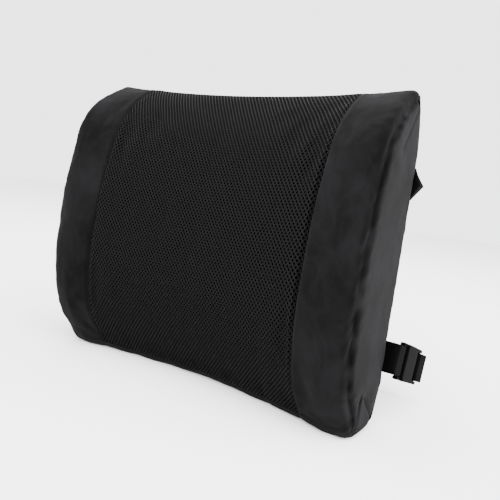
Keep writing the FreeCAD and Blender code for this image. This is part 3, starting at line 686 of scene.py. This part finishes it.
def bent(points, radii, step=1.5):
    """A run of points about a step apart, straight between corners and round each corner."""
    out, at = [points[0]], points[0]
    for corner, after, radius in zip(points[1:], points[2:], radii):
        u = (corner - at) / np.linalg.norm(corner - at)
        v = (after - corner) / np.linalg.norm(after - corner)
        turn = math.atan2(u[0] * v[1] - u[1] * v[0], float(u @ v))
        enter = corner - u * radius * math.tan(abs(turn) / 2)
        centre = enter + in_plane(-u[1], u[0]) * math.copysign(radius, turn)
        count = max(2, int(np.linalg.norm(enter - at) / step))
        out += [at + (enter - at) * t for t in np.linspace(0, 1, count)[1:]]
        spoke = enter - centre
        for a in np.linspace(0, turn, max(4, int(abs(turn) * radius / step) + 3))[1:]:
            out.append(centre + in_plane(spoke[0] * math.cos(a) - spoke[1] * math.sin(a),
                                     spoke[0] * math.sin(a) + spoke[1] * math.cos(a)))
        at = out[-1]
    count = max(2, int(np.linalg.norm(points[-1] - at) / step))
    out += [at + (points[-1] - at) * t for t in np.linspace(0, 1, count)[1:]]
    return np.array(out)


def hang(points, strap):
    """From a strap's own plane, with its width along the third number, to its place on the cushion."""
    points = np.asarray(points, float)
    a = -math.radians(strap["droop"])
    y, z = points[:, 1] - ROOT_Y, points[:, 2]
    return np.column_stack((points[:, 0], y * math.cos(a) - z * math.sin(a) + ROOT_Y + BACK_Y,
                            y * math.sin(a) + z * math.cos(a) + strap["z"] - TRIM))


TUCK_LEAN = 0.36            # how much nearer the middle the tuck starts, for each millimetre back


def web(name, strap, run, ripple, seed, tuck=None):
    """Webbing along a run: a strip with its two faces and rounded selvedges. Past tuck, a distance from the
    cushion's middle, its selvedges are pulled in behind the cushion, so that it stands out in a point."""
    lengths = np.concatenate(([0.0], np.cumsum(np.linalg.norm(np.diff(run, axis=0), axis=1))))
    along = np.gradient(run, axis=0)
    along /= np.linalg.norm(along, axis=1)[:, None]
    side = np.column_stack((along[:, 1], -along[:, 0]))
    across = np.array((-1.0, -0.93, -0.66, -0.33, 0.0, 0.33, 0.66, 0.93, 1.0))
    wall = WEB_WALL / 2 * np.array((0.35, 1.0, 0.9, 0.9, 0.9, 0.9, 0.9, 1.0, 0.35))
    loose = np.clip(np.minimum(lengths, lengths[-1] - lengths) / 12.0, 0.0, 1.0)
    points, uvs = [], []
    for face in (1, -1):
        for i, at in enumerate(run):
            for j, v in enumerate(across if face > 0 else across[::-1]):
                w = wall[j]
                sway = ripple * loose[i] * noise.noise(Vector((lengths[i] / 22.0 + seed, v * 1.2, seed)))
                x, y = at + side[i] * (face * w + sway)
                if tuck is not None:
                    x -= abs(v) * max(0.0, x - tuck + TUCK_LEAN * max(0.0, y))
                points.append((x, y, v * WEB / 2))
                uvs.append((lengths[i], v * WEB / 2))
    n, m = len(run), len(across)
    at = lambda f, i, j: f * n * m + i * m + j
    faces = []
    for i in range(n - 1):
        for j in range(m - 1):
            faces.append((at(0, i, j), at(0, i, j + 1), at(0, i + 1, j + 1), at(0, i + 1, j)))
            faces.append((at(1, i, j), at(1, i, j + 1), at(1, i + 1, j + 1), at(1, i + 1, j)))
        faces.append((at(0, i, m - 1), at(1, i, 0), at(1, i + 1, 0), at(0, i + 1, m - 1)))
        faces.append((at(1, i, m - 1), at(0, i, 0), at(0, i + 1, 0), at(1, i + 1, m - 1)))
    for i, turned in ((0, False), (n - 1, True)):
        ends = [at(0, i, j) for j in range(m)] + [at(1, i, j) for j in range(m)]
        faces.append(tuple(reversed(ends)) if not turned else tuple(ends))
    obj = new_object(name, hang(points, strap) * MM, faces, [WEBBING])
    layer = obj.data.uv_layers.new(name="along")
    for loop in obj.data.loops:
        layer.data[loop.index].uv = uvs[loop.vertex_index]
    work = bmesh.new()
    work.from_mesh(obj.data)
    bmesh.ops.recalc_face_normals(work, faces=work.faces)
    work.to_mesh(obj.data)
    work.free()
    return obj


def buckle_axes(strap):
    """The socket's bar, the way from it to the plug, and the way across the buckle, in the strap's plane."""
    out, back, _ = strap["turns"][-1]
    heading = math.radians(strap["heading"])
    way = in_plane(math.cos(heading), math.sin(heading))
    return in_plane(HALF + out, ROOT_Y + back) + way * strap["at"], way, in_plane(-way[1], way[0])


for name, strap in STRAPS.items():
    bar, way, n = buckle_axes(strap)
    seam = hang([(0, ROOT_Y, 0), (0, ROOT_Y + 9.0, 0)], strap) * MM
    turns = [(in_plane(HALF + out, ROOT_Y + back), radius) for out, back, radius in strap["turns"]]
    last = turns[-1][0]
    line = [in_plane(HALF - SEAM_TAIL, ROOT_Y), *(c for c, _ in turns[:-1])]
    before = last - line[-1]
    cross = lambda a, b: a[0] * b[1] - a[1] * b[0]
    corner = last + before * (cross(bar - n * RING_R - last, way) / cross(before, way))
    # round the socket's bar and back, to where its end is sewn down
    line += [corner, bar + (way - n) * RING_R, bar + (way + n) * RING_R, bar - way * 2.5 + n * RING_R,
             bar - way * 8.0 - n * (RING_R - 1.75), bar - way * 11.0 - n * (RING_R - 1.7)]
    run = bent(line, [r for _, r in turns] + [RING_R, RING_R, 2.0, 2.0])
    short = web(name + "_short_strap", strap, run, 0.3, 1.0, HALF + 0.5 if name == "upper_strap" else None)
    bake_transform(short)
    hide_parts(name + "_short_webbing", name + "_right_tab")

    plug_bar = bar + way * PLUG_BAR_AT
    corners = [(plug_bar + way * strap["corner"][0], strap["corner"][1])]
    corners += [(in_plane(x, y), r) for x, y, r in strap["corners"]]
    count, past = strap["slack"]
    stops = [plug_bar] + [c for c, _ in corners]
    step = stops[count + 1] - stops[count]
    meet = stops[count] + step / np.linalg.norm(step) * past
    run = bent([meet, *(c for c, _ in corners[count:]), in_plane(-HALF + SEAM_TAIL, ROOT_Y)],
               [r for _, r in corners[count:]])
    long = web(name + "_long_strap", strap, run, 0.9, 7.0)
    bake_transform(long)
    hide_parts(name + "_long_webbing", name + "_left_tab")

    run = bent([meet, *(c for c, _ in reversed(corners[:count])), plug_bar + way * 11.0,
                plug_bar + way * 4.5 + n * RING_R, plug_bar + (n - way) * RING_R,
                plug_bar - (n + way) * RING_R, plug_bar + way * 15.0 - n * (RING_R + 1.0)],
               [r for _, r in reversed(corners[:count])] + [5.0, 4.0, RING_R, RING_R])
    slack = web(name + "_slack_strap", strap, run, 0.0, 3.0)
    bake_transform(slack)
    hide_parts(name + "_slack_webbing")

# ------------------------------------------------------------------ zipper

TAPE_Y = BACK_Y - 2.15      # the tapes' outer face, just inside the cover's wall
COIL_Y = TAPE_Y + 0.9
COIL_AT = 1.55              # each coil's middle, from the zipper's
COIL_END = ZIP_HALF - 0.8


def tooth_tree():
    """Geometry nodes that set one loop of the coil along a line, at the coil's own spacing."""
    tree = bpy.data.node_groups.new("coil_along_tape", "GeometryNodeTree")
    face = tree.interface
    face.new_socket("Geometry", in_out="INPUT", socket_type="NodeSocketGeometry")
    for label, value in (("Spacing", 0.0015), ("Wire Radius", 0.00035), ("Loop Radius", 0.0009)):
        face.new_socket(label, in_out="INPUT", socket_type="NodeSocketFloat").default_value = value
    face.new_socket("Finish", in_out="INPUT", socket_type="NodeSocketMaterial")
    face.new_socket("Geometry", in_out="OUTPUT", socket_type="NodeSocketGeometry")
    given = add(tree, "NodeGroupInput")
    line = add(tree, "GeometryNodeMeshToCurve", [("Mesh", given, "Geometry")])
    spots = add(tree, "GeometryNodeResampleCurve", [("Curve", line, "Curve"), ("Length", given, "Spacing")],
                mode="LENGTH")
    loop = add(tree, "GeometryNodeCurvePrimitiveCircle", [("Resolution", 8),
                                                          ("Radius", given, "Loop Radius")])
    upright = add(tree, "GeometryNodeTransform", [("Geometry", loop, "Curve"), ("Rotation", (0.0, 1.35, 0.0)),
                                                  ("Scale", (1.0, 0.95, 1.25))])
    wire = add(tree, "GeometryNodeCurvePrimitiveCircle", [("Resolution", 5),
                                                          ("Radius", given, "Wire Radius")])
    tube = add(tree, "GeometryNodeCurveToMesh", [("Curve", upright, "Geometry"),
                                                 ("Profile Curve", wire, "Curve")])
    placed = add(tree, "GeometryNodeInstanceOnPoints", [("Points", spots, "Curve"),
                                                        ("Instance", tube, "Mesh")])
    real = add(tree, "GeometryNodeRealizeInstances", [("Geometry", placed, "Instances")])
    done = add(tree, "GeometryNodeSetMaterial", [("Geometry", real, "Geometry"),
                                                 ("Material", given, "Finish")])
    add(tree, "NodeGroupOutput", [("Geometry", done, "Geometry")])
    return tree


def line_object(name, ends):
    mesh = bpy.data.meshes.new(name)
    mesh.from_pydata([tuple(np.array(p) * MM) for p in ends], [(i, i + 1) for i in range(len(ends) - 1)], [])
    obj = bpy.data.objects.new(name, mesh)
    bpy.context.scene.collection.objects.link(obj)
    return obj


coil_tree = tooth_tree()
for half, way_up in (("upper", 1), ("lower", -1)):
    z = ZIP_Z - TRIM + way_up * COIL_AT
    coil = line_object(f"zipper_coil_{half}_loops", [(-COIL_END, COIL_Y, z), (COIL_END, COIL_Y, z)])
    with_nodes(coil, coil_tree, **{"Spacing": 0.0015, "Wire Radius": 0.00032, "Loop Radius": 0.00085,
                                   "Finish": ZIP_COIL})
    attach(coil, "cushion")
    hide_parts(f"zipper_coil_{half}")

# ------------------------------------------------------------------ finishes of the carried-over pieces

for name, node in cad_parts.items():
    finish = (WEBBING if "webbing" in name or name.endswith("_tab")
              else ACETAL if "buckle" in name or "latch" in name
              else ZIP_TAPE if "tape" in name else ZIP_COIL if "coil" in name
              else ZIP_METAL if "zipper" in name else None)
    if finish:
        node.data.materials.clear()
        node.data.materials.append(finish)

# ------------------------------------------------------------------ floor and light

floor_mesh = bpy.data.meshes.new("studio_floor")
floor_mesh.from_pydata([(-6, -6, 0), (6, -6, 0), (6, 6, 0), (-6, 6, 0)], [], [(0, 1, 2, 3)])
floor = bpy.data.objects.new("studio_floor", floor_mesh)
bpy.context.scene.collection.objects.link(floor)
paper, paper_tree = finish_tree("matt_paper_white")
add(paper_tree, "ShaderNodeOutputMaterial", [("Surface", add(
    paper_tree, "ShaderNodeBsdfDiffuse", [("Color", (0.88, 0.88, 0.88, 1.0)), ("Roughness", 1.0)]), "BSDF")])
floor_mesh.materials.append(paper)

world = bpy.data.worlds.new("studio_world")
world.use_nodes = True
world.node_tree.nodes["Background"].inputs["Color"].default_value = (1.0, 1.0, 1.0, 1.0)
world.node_tree.nodes["Background"].inputs["Strength"].default_value = 3.4
bpy.context.scene.world = world


def soft_box(name, at, towards, size, power):
    lamp = bpy.data.lights.new(name, "AREA")
    lamp.shape, lamp.size, lamp.energy = "SQUARE", size, power
    obj = bpy.data.objects.new(name, lamp)
    obj.location = at
    obj.rotation_euler = (Vector(towards) - Vector(at)).to_track_quat("-Z", "Y").to_euler()
    bpy.context.scene.collection.objects.link(obj)


soft_box("key_softbox", (0.9, -1.2, 1.6), (0, 0, 0.15), 2.2, 80.0)
soft_box("side_softbox", (1.7, 0.2, 0.8), (0, 0, 0.15), 2.4, 60.0)
soft_box("top_softbox", (-0.3, 0.3, 1.9), (0, 0, 0.2), 2.4, 60.0)
